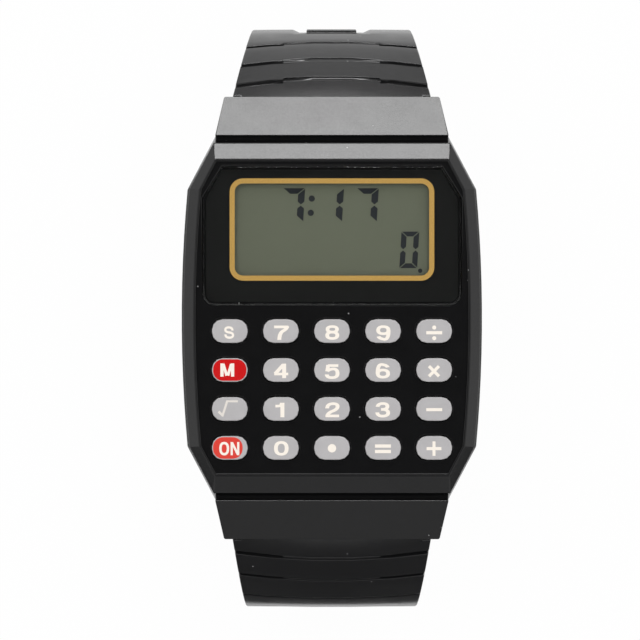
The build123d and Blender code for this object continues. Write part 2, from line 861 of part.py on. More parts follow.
def buckle_bar():
    return buckle_plane() * rod_x(0, 0, pin_r, buckle_half_in + buckle_arm_w - fit_gap)


def save(name, shape):
    """Write a sub-part's solids to its own file."""
    pieces = shape if isinstance(shape, list) else [shape]
    solids = [solid for piece in pieces for solid in piece.solids()]
    export_step(Compound(children=solids), f"parts/{name}.step")


def main():
    os.makedirs("parts", exist_ok=True)
    pieces = {
        "case_front": case_front(),
        "lens": lens(),
        "lens_mask": lens_mask(),
        "gold_frame": gold_frame(),
        "lcd_glass": lcd_glass(),
        "lcd_reflector": lcd_reflector(),
        "zebra_strips": zebra_strips(),
        "keypad_mat": keypad_mat(),
        "circuit_board": circuit_board(),
        "chip_blob": chip_blob(),
        "crystal_can": crystal_can(),
        "battery": battery(),
        "battery_spring": battery_spring(),
        "battery_clip": battery_clip(),
        "module_frame": module_frame(),
        "back_gasket": back_gasket(),
        "back_cover": back_cover(),
        "spring_bar_12": spring_bar(),
        "spring_bar_6": mirror(spring_bar(), about=Plane.XZ),
        "strap_12": strap_12(),
        "strap_6": strap_6(),
        "keeper": keeper(),
        "buckle_frame": buckle_frame(),
        "buckle_tongue": buckle_tongue(),
        "buckle_bar": buckle_bar(),
    }
    for name, x, y in key_places():
        pieces[f"key_{name}"] = key(x, y)
    for name, shape in pieces.items():
        save(name, shape)


main()
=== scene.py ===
"""Calculator watch: finishes, printing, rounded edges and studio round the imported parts."""
import json
from math import cos, pi, radians, sin

import bmesh
import bpy
from bpy.props import FloatProperty, FloatVectorProperty, PointerProperty
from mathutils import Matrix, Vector


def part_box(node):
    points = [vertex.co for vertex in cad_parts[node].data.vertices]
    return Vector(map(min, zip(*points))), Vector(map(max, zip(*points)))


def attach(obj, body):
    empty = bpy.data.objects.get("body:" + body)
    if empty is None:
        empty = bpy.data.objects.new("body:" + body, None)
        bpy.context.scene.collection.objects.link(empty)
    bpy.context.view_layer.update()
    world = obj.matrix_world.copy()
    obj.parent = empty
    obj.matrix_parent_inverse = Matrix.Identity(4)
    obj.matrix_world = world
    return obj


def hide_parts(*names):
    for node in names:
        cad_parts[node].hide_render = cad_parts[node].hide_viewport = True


bl_info = {
    "name": "Calculator watch",
    "version": (1, 0, 0),
    "blender": (4, 5, 0),
    "location": "3D View > Sidebar > Watch",
    "description": "Builds the finishes and fine pieces of a calculator watch round its packed parts",
    "category": "Object",
}

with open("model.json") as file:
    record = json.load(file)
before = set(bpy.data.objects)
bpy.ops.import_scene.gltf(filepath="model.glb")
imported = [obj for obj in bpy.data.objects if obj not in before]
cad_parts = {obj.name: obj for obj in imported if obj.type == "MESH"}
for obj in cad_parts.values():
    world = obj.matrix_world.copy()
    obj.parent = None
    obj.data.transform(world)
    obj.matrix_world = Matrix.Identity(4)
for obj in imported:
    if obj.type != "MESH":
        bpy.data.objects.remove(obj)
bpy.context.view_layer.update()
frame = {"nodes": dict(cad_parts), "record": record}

mm = 0.001
sheer = 0.000012              # height of printed ink over what it lies on, thickness of a card
layer = 0.000003              # how much higher each further stroke of ink lies
level_gap = 0.000001          # two heights closer than this are the same level
close_corners = 0.05 * mm     # corners closer than this become one before an edge is rounded
print_w_share = 0.965         # width of the printed marks against the points that they are drawn by
print_h_share = 0.975         # the same for their height
rim_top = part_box("case_front")[1].z
display_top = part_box("lcd_glass")[1].z


def linear(colour):
    """Linear red, green and blue of an sRGB hex colour."""
    shares = [int(colour[i:i + 2], 16) / 255 for i in (1, 3, 5)]
    return [s / 12.92 if s <= 0.04045 else ((s + 0.055) / 1.055) ** 2.4 for s in shares]


def colour_property(name, about, colour):
    return FloatVectorProperty(
        name=name, description=about, subtype="COLOR", size=3, min=0, max=1, default=linear(colour)
    )


def length_property(name, about, size):
    return FloatProperty(
        name=name, description=about, subtype="DISTANCE", unit="LENGTH", default=size * mm
    )


def level_property(name, about, level):
    return FloatProperty(name=name, description=about, min=0, default=level)


class WatchColours(bpy.types.PropertyGroup):
    """Colours of the watch's mouldings and prints."""

    case: colour_property("Case", "Moulded resin of the case", "#0b0b0c")
    strap: colour_property("Strap", "Moulded resin of the straps", "#161617")
    key: colour_property("Keys", "Silicone of the keys", "#b1afb0")
    crimson: colour_property("Memory key print", "Red ink on the memory key", "#cc0406")
    scarlet: colour_property("On key print", "Red ink on the on key", "#dc4034")
    legend: colour_property("Legends", "Ink of the keys' marks", "#f1e9de")
    gold: colour_property("Gold print", "Ink of the frame round the display", "#d0a250")
    display: colour_property("Display", "Display with nothing shown", "#606353")
    segment: colour_property("Segments", "Display segments that are on", "#0f141b")
    steel: colour_property("Steel", "Back cover, buckle and its pin", "#c4c3bf")


class WatchSizes(bpy.types.PropertyGroup):
    """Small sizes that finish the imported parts."""

    case_edge: length_property("Case edge", "Rounding of the case's edges", 0.11)
    hole_edge: length_property("Key hole edge", "Rounding round each key hole", 0.2)
    strap_edge: length_property("Strap edge", "Rounding of the straps' and keeper's edges", 0.14)
    key_corner: length_property("Key corner", "Rounding between the steps of a key's outline", 0.3)
    key_edge: length_property("Key edge", "Rounding of the keys' tops", 0.13)
    lens_edge: length_property("Lens edge", "Rounding of the lens's sides and upper end", 0.05)
    lens_low_edge: length_property("Lens lower edge", "Rounding of the lens's end above the keys", 0.13)
    buckle_edge: length_property("Buckle edge", "Rounding of the buckle and its tongue", 0.15)
    cover_edge: length_property("Cover edge", "Rounding of the back cover", 0.12)


class WatchStudio(bpy.types.PropertyGroup):
    """Camera, lamps and dark cards."""

    camera_x: length_property("Camera across", "Camera to the right of the watch's middle", -1.42)
    camera_y: length_property("Camera along", "Camera towards 12 o'clock", -0.24)
    camera_height: length_property("Camera height", "Camera above the floor", 422.5)
    focal_length: FloatProperty(
        name="Focal length", description="Camera lens, in millimetres", min=1, default=180.45
    )
    softbox_tilt: FloatProperty(
        name="Softbox tilt", description="From overhead towards 12 o'clock", subtype="ANGLE",
        unit="ROTATION", default=radians(60),
    )
    softbox_distance: length_property("Softbox distance", "From the case's rim to the softbox", 900)
    softbox_width: length_property("Softbox width", "Size across the watch", 1500)
    softbox_height: length_property("Softbox height", "Size up the tilt", 250)
    softbox_level: level_property("Softbox level", "Brightness that the watch mirrors, 1 is white", 10.3)
    fill_height: length_property("Fill height", "Overhead lamp above the floor", 700)
    fill_along: length_property("Fill along", "Overhead lamp towards 12 o'clock", 150)
    fill_size: length_property("Fill size", "Overhead lamp's sides", 800)
    fill_level: level_property("Fill level", "Overhead lamp's brightness, 1 is white", 1.75)
    card_6: length_property("Card at 6 o'clock", "Dark card's distance from the middle", 48)
    card_12: length_property("Card at 12 o'clock", "High dark card's distance from the middle", 200)
    card_beside: length_property("Cards beside", "Distance of the cards on the floor from the middle", 37)


def colours():
    return bpy.context.scene.watch_colours


def sizes():
    return bpy.context.scene.watch_sizes


# Materials
# Skins, inks and brushing are finer on the real watch than about 0.1 mm, and are drawn that coarse to show

def add(tree, kind, settings=(), values=(), links=()):
    """Adds a node with its settings, its inputs' values and the outputs that feed it."""
    made = tree.nodes.new(kind)
    for name, value in dict(settings).items():
        setattr(made, name, value)
    for name, value in dict(values).items():
        made.inputs[name].default_value = value
    for name, source in dict(links).items():
        tree.links.new(source, made.inputs[name])
    return made


def material(name):
    """A new material's node tree, its shader and its object coordinates."""
    made = bpy.data.materials.new(name)
    made.use_nodes = True
    tree = made.node_tree
    shader = next(node for node in tree.nodes if node.type == "BSDF_PRINCIPLED")
    place = add(tree, "ShaderNodeTexCoord").outputs["Object"]
    return made, tree, shader, place


def mixed_colour(first, second, share):
    return [a + (b - a) * share for a, b in zip(first, second)]


def grain(tree, place, spacing, detail=2.0, roughness=0.5):
    """Noise whose features are this far apart, in metres."""
    return add(
        tree, "ShaderNodeTexNoise", values={"Scale": 1 / spacing, "Detail": detail, "Roughness": roughness},
        links={"Vector": place},
    ).outputs["Fac"]


def spread(tree, source, low, high, out_low, out_high):
    """Maps a pattern's range to another."""
    return add(
        tree, "ShaderNodeMapRange",
        values={"From Min": low, "From Max": high, "To Min": out_low, "To Max": out_high},
        links={"Value": source},
    ).outputs["Result"]


def mixed(tree, share, first, second):
    """Colour mixed between two colours or outputs by a pattern."""
    node = add(tree, "ShaderNodeMix", {"data_type": "RGBA"}, links={"Factor": share})
    for name, colour in (("A", first), ("B", second)):
        socket = next(s for s in node.inputs if s.name == name and s.type == "RGBA")
        if isinstance(colour, bpy.types.NodeSocket):
            tree.links.new(colour, socket)
        else:
            socket.default_value = (*colour, 1)
    return next(s for s in node.outputs if s.type == "RGBA")


def specks(tree, place, spacing, size, share):
    """Round specks of dust, one in each of this share of a grid's cells."""
    cells = add(
        tree, "ShaderNodeTexVoronoi", values={"Scale": 1 / spacing, "Randomness": 1},
        links={"Vector": place},
    )
    near = add(
        tree, "ShaderNodeMath", {"operation": "LESS_THAN"}, {1: size / spacing},
        {0: cells.outputs["Distance"]},
    )
    draw = add(tree, "ShaderNodeSeparateColor", links={"Color": cells.outputs["Color"]})
    few = add(tree, "ShaderNodeMath", {"operation": "LESS_THAN"}, {1: share}, {0: draw.outputs["Red"]})
    return add(
        tree, "ShaderNodeMath", {"operation": "MULTIPLY"},
        links={0: near.outputs["Value"], 1: few.outputs["Value"]},
    ).outputs["Value"]


def bump(tree, shader, height, distance):
    """Relief this deep, in metres, from a pattern."""
    made = add(
        tree, "ShaderNodeBump", values={"Distance": distance, "Strength": 1}, links={"Height": height}
    )
    tree.links.new(made.outputs["Normal"], shader.inputs["Normal"])


def cover(tree, shader):
    """Gives the surface this shader in place of its first one."""
    output = next(node for node in tree.nodes if node.type == "OUTPUT_MATERIAL")
    tree.links.new(shader.outputs["Shader"], output.inputs["Surface"])


def either(tree, path, *kinds):
    """One for a ray of any of these kinds, else nothing."""
    total = path.outputs[kinds[0]]
    for kind in kinds[1:]:
        total = add(
            tree, "ShaderNodeMath", {"operation": "MAXIMUM"}, links={0: total, 1: path.outputs[kind]}
        ).outputs["Value"]
    return total


def moulded_resin(name, colour, polish, dust, drawn=1.0, ior=1.5):
    """Black resin as it leaves a polished mould: even gloss, fine ripple, a little dust.

    With drawn under 1, its ripple runs in streaks across the watch, as on a worn strap.
    """
    made, tree, shader, place = material(name)
    across = add(
        tree, "ShaderNodeMapping", values={"Scale": (drawn, 1, 1)}, links={"Vector": place}
    ).outputs["Vector"]
    ripple = grain(tree, across, 0.35 * mm, 3, 0.6)
    cloud = grain(tree, across, 3 * mm, 4, 0.6)
    tone = mixed(tree, cloud, [c * 0.85 for c in colour], [c * 1.15 for c in colour])
    dusty = specks(tree, place, 1.6 * mm, 0.08 * mm, dust)
    tree.links.new(mixed(tree, dusty, tone, linear("#8c8c8c")), shader.inputs["Base Color"])
    tree.links.new(spread(tree, cloud, 0.3, 0.7, polish - 0.01, polish + 0.02), shader.inputs["Roughness"])
    shader.inputs["IOR"].default_value = ior
    fine = grain(tree, across, 0.16 * mm, 3, 0.7)
    tree.links.new(spread(tree, fine, 0.3, 0.7, 0.43, 0.57), shader.inputs["Specular IOR Level"])
    bump(tree, shader, ripple, 0.003 * mm)
    return made


def silicone(name, colour):
    """Moulded silicone: matt, softly see-through, with a fine skin."""
    made, tree, shader, place = material(name)
    cloud = grain(tree, place, 1.4 * mm)
    tone = mixed(tree, spread(tree, cloud, 0.3, 0.7, 0, 1), [c * 0.94 for c in colour], colour)
    tree.links.new(tone, shader.inputs["Base Color"])
    tree.links.new(spread(tree, cloud, 0.3, 0.7, 0.42, 0.52), shader.inputs["Roughness"])
    shader.inputs["IOR"].default_value = 1.41
    bump(tree, shader, grain(tree, place, 0.12 * mm, 3), 0.006 * mm)
    return made


def printed_ink(name, colour, gloss, fleck=0.0):
    """Pad-printed ink: thin and even, with tiny gaps where fleck is more than nothing."""
    made, tree, shader, place = material(name)
    speckle = grain(tree, place, 0.11 * mm, 3, 0.7)
    tone = mixed(
        tree, spread(tree, speckle, 0.35, 0.65, 0, 1), [c * (1 - fleck) for c in colour], colour
    )
    tree.links.new(tone, shader.inputs["Base Color"])
    tree.links.new(spread(tree, speckle, 0.3, 0.7, gloss, gloss + 0.1), shader.inputs["Roughness"])
    bump(tree, shader, speckle, 0.002 * mm)
    return made


def acrylic(name):
    """Cast acrylic: clear and flat, so that it shows only the lamps and what lies under it.

    Light passes it unbent, so that the display under it keeps its brightness.
    """
    made, tree, shader, place = material(name)
    shader.inputs["Transmission Weight"].default_value = 1
    shader.inputs["IOR"].default_value = 1.49
    shader.inputs["Base Color"].default_value = (0.98, 0.99, 0.985, 1)
    worn = grain(tree, place, 2.5 * mm, 4)
    tree.links.new(spread(tree, worn, 0.3, 0.8, 0.0, 0.03), shader.inputs["Roughness"])
    path = add(tree, "ShaderNodeLightPath")
    clear = add(tree, "ShaderNodeBsdfTransparent", values={"Color": (0.95, 0.96, 0.95, 1)})
    lighting = either(tree, path, "Is Shadow Ray", "Is Diffuse Ray", "Is Glossy Ray")
    pick = add(
        tree, "ShaderNodeMixShader",
        links={0: lighting, 1: shader.outputs["BSDF"], 2: clear.outputs["BSDF"]},
    )
    cover(tree, pick)
    return made


def brushed_steel(name, colour, axis, polish):
    """Stainless steel brushed along an axis: long fine lines that stretch its reflections."""
    made, tree, shader, place = material(name)
    stretch = [1.0, 1.0, 1.0]
    stretch[axis] = 0.03
    lines = add(
        tree, "ShaderNodeMapping", values={"Scale": stretch}, links={"Vector": place}
    ).outputs["Vector"]
    brushing = grain(tree, lines, 0.07 * mm, 4, 0.6)
    tone = mixed(tree, spread(tree, brushing, 0.3, 0.7, 0, 1), [c * 0.82 for c in colour], colour)
    tree.links.new(tone, shader.inputs["Base Color"])
    shader.inputs["Metallic"].default_value = 1
    tree.links.new(
        spread(tree, brushing, 0.3, 0.7, polish, polish + 0.12), shader.inputs["Roughness"]
    )
    bump(tree, shader, brushing, 0.002 * mm)
    return made


def plated_metal(name, colour, polish):
    """Bright plating over steel, slightly clouded by handling."""
    made, tree, shader, place = material(name)
    cloud = grain(tree, place, 1.5 * mm, 4)
    tree.links.new(mixed(tree, cloud, [c * 0.85 for c in colour], colour), shader.inputs["Base Color"])
    shader.inputs["Metallic"].default_value = 1
    tree.links.new(spread(tree, cloud, 0.3, 0.7, polish, polish + 0.1), shader.inputs["Roughness"])
    return made


def plain_moulding(name, colour, polish):
    """Small inner moulding: matt with a fine spark-eroded texture."""
    made, tree, shader, place = material(name)
    texture = grain(tree, place, 0.15 * mm, 3)
    tree.links.new(mixed(tree, texture, [c * 0.9 for c in colour], colour), shader.inputs["Base Color"])
    shader.inputs["Roughness"].default_value = polish
    bump(tree, shader, texture, 0.008 * mm)
    return made


def striped(name, first, second, pitch, axis, polish):
    """Layers or woven threads that alternate at this pitch: fine even lines in two colours."""
    made, tree, shader, place = material(name)
    # The wave node draws a band every pi / 10 at a scale of 1
    bands = add(
        tree, "ShaderNodeTexWave",
        {"wave_type": "BANDS", "bands_direction": "XYZ"[axis], "wave_profile": "SIN"},
        {"Scale": pi / 10 / pitch, "Distortion": 0.0}, {"Vector": place},
    ).outputs["Fac"]
    tree.links.new(mixed(tree, bands, first, second), shader.inputs["Base Color"])
    shader.inputs["Roughness"].default_value = polish
    bump(tree, shader, bands, 0.01 * mm)
    return made


def display_cell(name, colour):
    """Display glass over its polariser: satin grey-green with a very fine grain."""
    made, tree, shader, place = material(name)
    fine = grain(tree, place, 0.09 * mm, 2)
    cloud = grain(tree, place, 7 * mm)
    tone = mixed(tree, spread(tree, fine, 0.3, 0.7, 0, 1), [c * 0.95 for c in colour], colour)
    shade = mixed(tree, spread(tree, cloud, 0.3, 0.7, 0, 0.25), tone, [c * 0.85 for c in colour])
    tree.links.new(shade, shader.inputs["Base Color"])
    shader.inputs["Roughness"].default_value = 0.45
    return made


# Shapes

def joined_faces(node):
    """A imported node's triangles, merged and joined into flat faces."""
    shape = bmesh.new()
    shape.from_mesh(frame["nodes"][node].data)
    bmesh.ops.remove_doubles(shape, verts=shape.verts, dist=1e-7)
    bmesh.ops.dissolve_limit(
        shape, angle_limit=radians(0.6), use_dissolve_boundaries=False, verts=shape.verts,
        edges=shape.edges, delimit={"NORMAL"},
    )
    return shape


def round_edges(shape, edges, size, segments=3, clamp=True):
    """Rounds these edges. Without clamp, short edges nearby don't make the rounding smaller."""
    bmesh.ops.bevel(
        shape, geom=edges, offset=size, offset_type="OFFSET", affect="EDGES", segments=segments,
        profile=0.5, material=-1, clamp_overlap=clamp, loop_slide=True,
    )


def outer_edges(shape, shortest):
    """Sharp ridges longer than this, once corners that lie close together are merged."""
    bmesh.ops.remove_doubles(shape, verts=shape.verts, dist=close_corners)
    return [e for e in sharp_edges(shape) if e.is_convex and e.calc_length() > shortest]


def sharp_edges(shape, least=22.0):
    """Edges whose faces meet at more than this angle, in degrees."""
    return [e for e in shape.edges if len(e.link_faces) == 2 and e.calc_face_angle(0) > radians(least)]


def shown(name, shape, finish):
    """An object of this shape and finish, in the scene."""
    mesh = bpy.data.meshes.new(name)
    shape.to_mesh(mesh)
    shape.free()
    mesh.materials.append(finish)
    made = bpy.data.objects.new(name, mesh)
    bpy.context.scene.collection.objects.link(made)
    return made


def piece(name, shape, finish, body, smooth_under=0.8):
    """An object that moves with a body. Its faces of fewer square millimetres are shaded smooth."""
    made = shown(name, shape, finish)
    for face in made.data.polygons:
        face.use_smooth = face.area < smooth_under * mm * mm
    if smooth_under:
        even = made.modifiers.new("even shading", "WEIGHTED_NORMAL")
        even.keep_sharp = True
    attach(made, body)
    return made


def dress(finish, *nodes):
    """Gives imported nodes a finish."""
    for node in nodes:
        for slot in frame["nodes"][node].material_slots:
            slot.material = finish


def body_of(node):
    return next(b for b, members in frame["record"]["behaviour"]["bodies"].items() if node in members)


def worked(node, shape, finish, smooth_under=0.8):
    """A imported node's finished shape, shown in its place."""
    made = piece(f"{node}_worked", shape, finish, body_of(node), smooth_under)
    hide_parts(node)


def corners_of(geometry):
    return [part for part in geometry if isinstance(part, bmesh.types.BMVert)]


def plate(shape, width, height, corner, low, thickness, centre):
    """Adds a flat plate with rounded corners to a shape."""
    start = bmesh.ops.create_grid(shape, x_segments=1, y_segments=1, size=0.5)["verts"]
    bmesh.ops.scale(shape, vec=(width, height, 1), verts=start)
    bmesh.ops.translate(shape, vec=(*centre, low), verts=start)
    start = bmesh.ops.bevel(
        shape, geom=start, offset=corner, offset_type="OFFSET", affect="VERTICES", segments=8,
        profile=0.5, material=-1,
    )["verts"]
    face = start[0].link_faces[0]
    raised = bmesh.ops.extrude_face_region(shape, geom=[face])["geom"]
    bmesh.ops.translate(shape, vec=(0, 0, thickness), verts=corners_of(raised))


def dot(shape, radius, low, thickness, centre):
    """Adds a round dot of ink."""
    made = bmesh.ops.create_cone(
        shape, cap_ends=True, segments=24, radius1=radius, radius2=radius, depth=thickness
    )["verts"]
    bmesh.ops.translate(shape, vec=(*centre, low + thickness / 2), verts=made)


def stroke(shape, points, width, closed, stretch, place, height):
    """Adds a ribbon of ink along a smooth line in millimetres. Stretch widens its upright parts."""
    curve = bpy.data.curves.new("stroke", "CURVE")
    curve.dimensions = "3D"
    curve.twist_mode = "Z_UP"
    curve.extrude = width / 2
    curve.resolution_u = 8
    line = curve.splines.new("NURBS")
    line.points.add(len(points) - 1)
    for point, (x, y) in zip(line.points, points):
        point.co = (x / stretch, y, 0, 1)
        point.tilt = pi / 2
    line.order_u = min(3, len(points))
    line.use_endpoint_u = not closed
    line.use_cyclic_u = closed
    holder = bpy.data.objects.new("stroke", curve)
    bpy.context.scene.collection.objects.link(holder)
    bpy.context.view_layer.update()
    mesh = bpy.data.meshes.new_from_object(holder.evaluated_get(bpy.context.evaluated_depsgraph_get()))
    bpy.data.objects.remove(holder)
    bpy.data.curves.remove(curve)
    ribbon = bmesh.new()
    ribbon.from_mesh(mesh)
    bmesh.ops.remove_doubles(ribbon, verts=ribbon.verts, dist=1e-4)
    bmesh.ops.scale(
        ribbon, vec=(print_w_share * stretch * mm, print_h_share * mm, 0), verts=ribbon.verts
    )
    raised = bmesh.ops.extrude_face_region(ribbon, geom=ribbon.faces[:])["geom"]
    bmesh.ops.translate(ribbon, vec=(0, 0, height + sheer), verts=corners_of(raised))
    bmesh.ops.recalc_face_normals(ribbon, faces=ribbon.faces)
    bmesh.ops.translate(ribbon, vec=place - Vector((0, 0, sheer)), verts=ribbon.verts)
    ribbon.to_mesh(mesh)
    ribbon.free()
    shape.from_mesh(mesh)
    bpy.data.meshes.remove(mesh)


def patch(shape, corners, low, thickness):
    """Adds a flat patch of ink with these corners."""
    face = shape.faces.new([shape.verts.new((x, y, low)) for x, y in corners])
    face.normal_update()
    if face.normal.z < 0:
        face.normal_flip()
    raised = bmesh.ops.extrude_face_region(shape, geom=[face])["geom"]
    bmesh.ops.translate(shape, vec=(0, 0, thickness), verts=corners_of(raised))


# Operators

class WATCH_OT_stage(bpy.types.Operator):
    """Floor, studio light and camera"""

    bl_idname = "watch.stage"
    bl_label = "Stage"

    # How far the floor's white covers the watch's shadow
    floor_white = 0.97
    # How bright reflections see the world: share of the way from straight down to straight up, level
    world_levels = (
        (0.0, 1.0), (0.3, 0.8), (0.5, 0.5), (0.62, 0.55), (0.75, 0.9), (0.88, 0.5), (0.95, 0.12),
        (1.0, 0.05),
    )

    def execute(self, context):
        scene = context.scene
        studio = scene.watch_studio
        self.floor()
        self.surroundings(scene)
        target = Vector((0, 0, rim_top))
        tilt = studio.softbox_tilt
        softbox = self.lamp(
            "softbox", target + Vector((0, sin(tilt), cos(tilt))) * studio.softbox_distance, target,
            studio.softbox_width, studio.softbox_height, studio.softbox_level,
        )
        softbox.visible_diffuse = False
        fill = self.lamp(
            "fill", Vector((0, studio.fill_along, studio.fill_height)), target,
            studio.fill_size, studio.fill_size, studio.fill_level,
        )
        fill.visible_glossy = False
        self.cards(studio)
        lens = bpy.data.cameras.new("camera")
        lens.lens = studio.focal_length
        lens.sensor_width = 36
        lens.clip_start = 0.01
        camera = bpy.data.objects.new("camera", lens)
        camera.location = (studio.camera_x, studio.camera_y, studio.camera_height)
        scene.collection.objects.link(camera)
        scene.camera = camera
        scene.view_settings.view_transform = "Standard"
        return {"FINISHED"}

    def floor(self):
        """White paper, shown nearly at full white, that keeps part of the watch's shadow."""
        shape = bmesh.new()
        bmesh.ops.create_grid(shape, x_segments=1, y_segments=1, size=3)
        paper = bpy.data.materials.new("white_paper")
        paper.use_nodes = True
        tree = paper.node_tree
        shader = next(node for node in tree.nodes if node.type == "BSDF_PRINCIPLED")
        shader.inputs["Base Color"].default_value = (0.85, 0.85, 0.85, 1)
        shader.inputs["Roughness"].default_value = 0.9
        white = add(tree, "ShaderNodeEmission", values={"Color": (1, 1, 1, 1), "Strength": 1})
        path = add(tree, "ShaderNodeLightPath")
        seen = either(tree, path, "Is Camera Ray", "Is Glossy Ray", "Is Transmission Ray")
        strong = add(tree, "ShaderNodeMath", {"operation": "MULTIPLY"}, {1: self.floor_white}, {0: seen})
        pick = add(
            tree, "ShaderNodeMixShader",
            links={0: strong.outputs["Value"], 1: shader.outputs["BSDF"], 2: white.outputs["Emission"]},
        )
        cover(tree, pick)
        shown("floor", shape, paper)

    def surroundings(self, scene):
        """Pale walls under a dark ceiling, and white where the camera looks, also through the lens."""
        world = bpy.data.worlds.new("studio")
        world.use_nodes = True
        scene.world = world
        tree = world.node_tree
        tree.nodes.clear()
        way = add(tree, "ShaderNodeTexCoord").outputs["Generated"]
        up = add(tree, "ShaderNodeSeparateXYZ", links={"Vector": way}).outputs["Z"]
        shade = add(tree, "ShaderNodeValToRGB", links={"Fac": up})
        ramp = shade.color_ramp
        while len(ramp.elements) < len(self.world_levels):
            ramp.elements.new(0.5)
        for element, (at, level) in zip(ramp.elements, self.world_levels):
            element.position = at
            element.color = (level, level, level, 1)
        walls = add(tree, "ShaderNodeBackground", links={"Color": shade.outputs["Color"]})
        white = add(tree, "ShaderNodeBackground", values={"Color": (1, 1, 1, 1), "Strength": 1})
        path = add(tree, "ShaderNodeLightPath")
        seen = either(tree, path, "Is Camera Ray", "Is Transmission Ray")
        pick = add(
            tree, "ShaderNodeMixShader",
            links={0: seen, 1: walls.outputs["Background"], 2: white.outputs["Background"]},
        )
        add(tree, "ShaderNodeOutputWorld", links={"Surface": pick.outputs["Shader"]})

    def lamp(self, name, place, target, width, height, level):
        """Rectangular lamp of this radiance that faces the watch and that the camera doesn't see."""
        lamp = bpy.data.lights.new(name, "AREA")
        lamp.shape = "RECTANGLE"
        lamp.size = width
        lamp.size_y = height
        lamp.energy = level * pi * width * height
        made = bpy.data.objects.new(name, lamp)
        made.location = place
        made.rotation_euler = (target - place).to_track_quat("-Z", "Y").to_euler()
        made.visible_camera = False
        bpy.context.scene.collection.objects.link(made)
        return made

    def cards(self, studio):
        """Grey cards that only reflections see, which keep the watch's sides and straps dark."""
        paper = plain_moulding("grey_card", linear("#606060"), 0.9)
        beside = (30 * mm, 56 * mm, sheer)
        # Middle and size of each card
        for name, centre, size in (
            ("card_6", (0, -studio.card_6, 22 * mm), (200 * mm, sheer, 44 * mm)),
            ("card_12", (0, studio.card_12, 82 * mm), (500 * mm, sheer, 70 * mm)),
            ("card_under_3", (studio.card_beside, 0, 1 * mm), beside),
            ("card_under_9", (-studio.card_beside, 0, 1 * mm), beside),
        ):
            shape = bmesh.new()
            bmesh.ops.create_cube(shape, size=1)
            bmesh.ops.scale(shape, vec=size, verts=shape.verts)
            bmesh.ops.translate(shape, vec=centre, verts=shape.verts)
            made = shown(name, shape, paper)
            for sight in ("camera", "diffuse", "transmission", "shadow"):
                setattr(made, f"visible_{sight}", False)


class WATCH_OT_case(bpy.types.Operator):
    """Resin case with rounded edges, also round each key hole"""

    bl_idname = "watch.case"
    bl_label = "Case"

    panel_drop = 0.25 * mm        # panel round the keys, below the rim
    row_margin = 0.4 * mm         # no hole reaches further than this beyond the first row of keys
    holes_half_w = 14.6 * mm      # or further than this from the watch's middle
    shortest_ridge = 0.3 * mm
    lowest_ridge = 34.5 * mm      # edges below this height meet the back cover and stay sharp

    def execute(self, context):
        shape = joined_faces("case_front")
        holes = set(self.hole_rims(shape))
        ridges = [
            e for e in outer_edges(shape, self.shortest_ridge)
            if e not in holes and min(v.co.z for v in e.verts) > self.lowest_ridge
        ]
        round_edges(shape, ridges, sizes().case_edge, clamp=False)
        round_edges(shape, self.hole_rims(shape), sizes().hole_edge, 2)
        finish = moulded_resin("moulded_resin", colours().case, polish=0.22, dust=0.3)
        worked("case_front", shape, finish)
        return {"FINISHED"}

    def hole_rims(self, shape):
        """Upper edges of the key holes."""
        panel = rim_top - self.panel_drop
        first_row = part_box("key_7")[1].y + self.row_margin

        def on_panel(corner):
            x, y, z = corner.co
            return abs(z - panel) < 2 * level_gap and y < first_row and abs(x) < self.holes_half_w

        return [
            e for e in sharp_edges(shape, 60)
            if all(on_panel(v) for v in e.verts) and any(abs(f.normal.z) < 0.1 for f in e.link_faces)
        ]


class WATCH_OT_straps(bpy.types.Operator):
    """Both resin straps and the keeper"""

    bl_idname = "watch.straps"
    bl_label = "Straps"

    shortest_ridge = 0.2 * mm

    def execute(self, context):
        # The straps' softer resin shines more than the case's at a flat angle
        finish = moulded_resin(
            "strap_resin", colours().strap, polish=0.23, dust=0.3, drawn=0.15, ior=1.6
        )
        for node in ("strap_12", "strap_6", "keeper"):
            shape = joined_faces(node)
            round_edges(shape, outer_edges(shape, self.shortest_ridge), sizes().strap_edge, clamp=False)
            worked(node, shape, finish, smooth_under=400)
        return {"FINISHED"}


